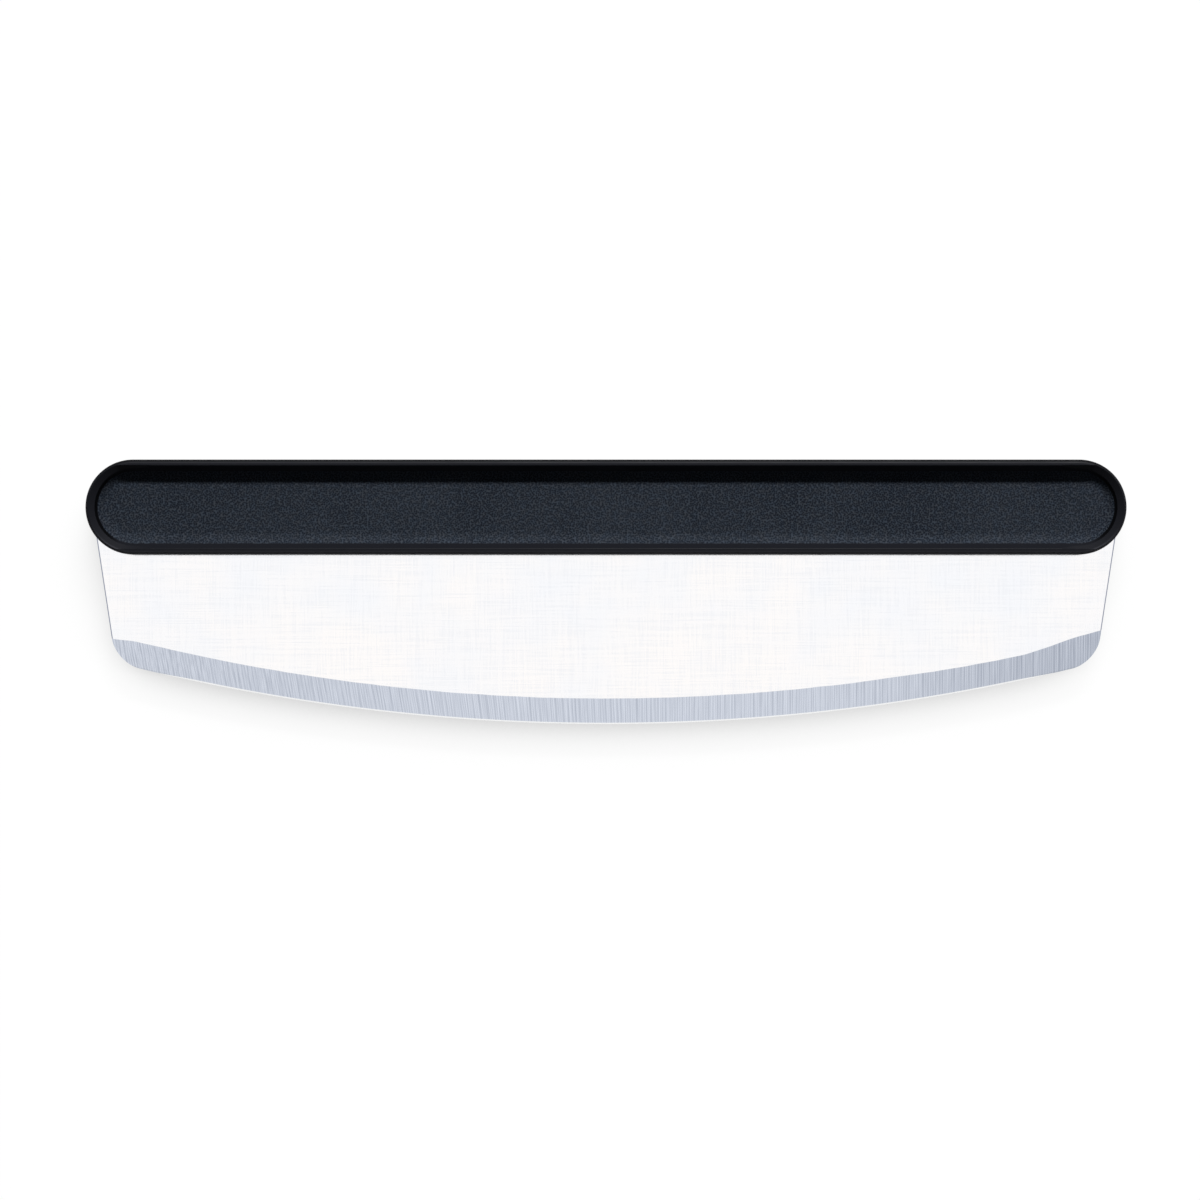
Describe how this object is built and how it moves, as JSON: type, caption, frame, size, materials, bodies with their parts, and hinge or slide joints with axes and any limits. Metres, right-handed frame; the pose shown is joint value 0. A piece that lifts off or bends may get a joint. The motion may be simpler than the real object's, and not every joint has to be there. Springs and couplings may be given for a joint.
{
  "type": "rocking pizza knife",
  "caption": "Rocking pizza knife: a wide stainless blade with a curved cutting edge, held along its back by a moulded handle with a finger recess on each face.",
  "frame": {"origin": "middle of the box's bottom, in the plane of the rear rim that the knife is laid on, half-way along the handle and half-way from the cutting edge's lowest point to the back of the handle", "axes": "+X along the handle, +Y from the cutting edge to the back of the handle, +Z through the thickness, out of the front face"},
  "size_m": [0.355, 0.0904, 0.02],
  "materials": {
    "blade_steel": "fine brushed stainless plate, with a coarser ground bevel and a bright honed edge",
    "handle_nylon": "near-black glass-filled nylon, satin rim and fine spark-textured recess",
    "pin_steel": "plain turned steel"
  },
  "bodies": {
    "root": {"blade": "blade_steel", "front_shell": "handle_nylon", "rear_shell": "handle_nylon", "tang_pins": "pin_steel"}
  },
  "joints": []
}
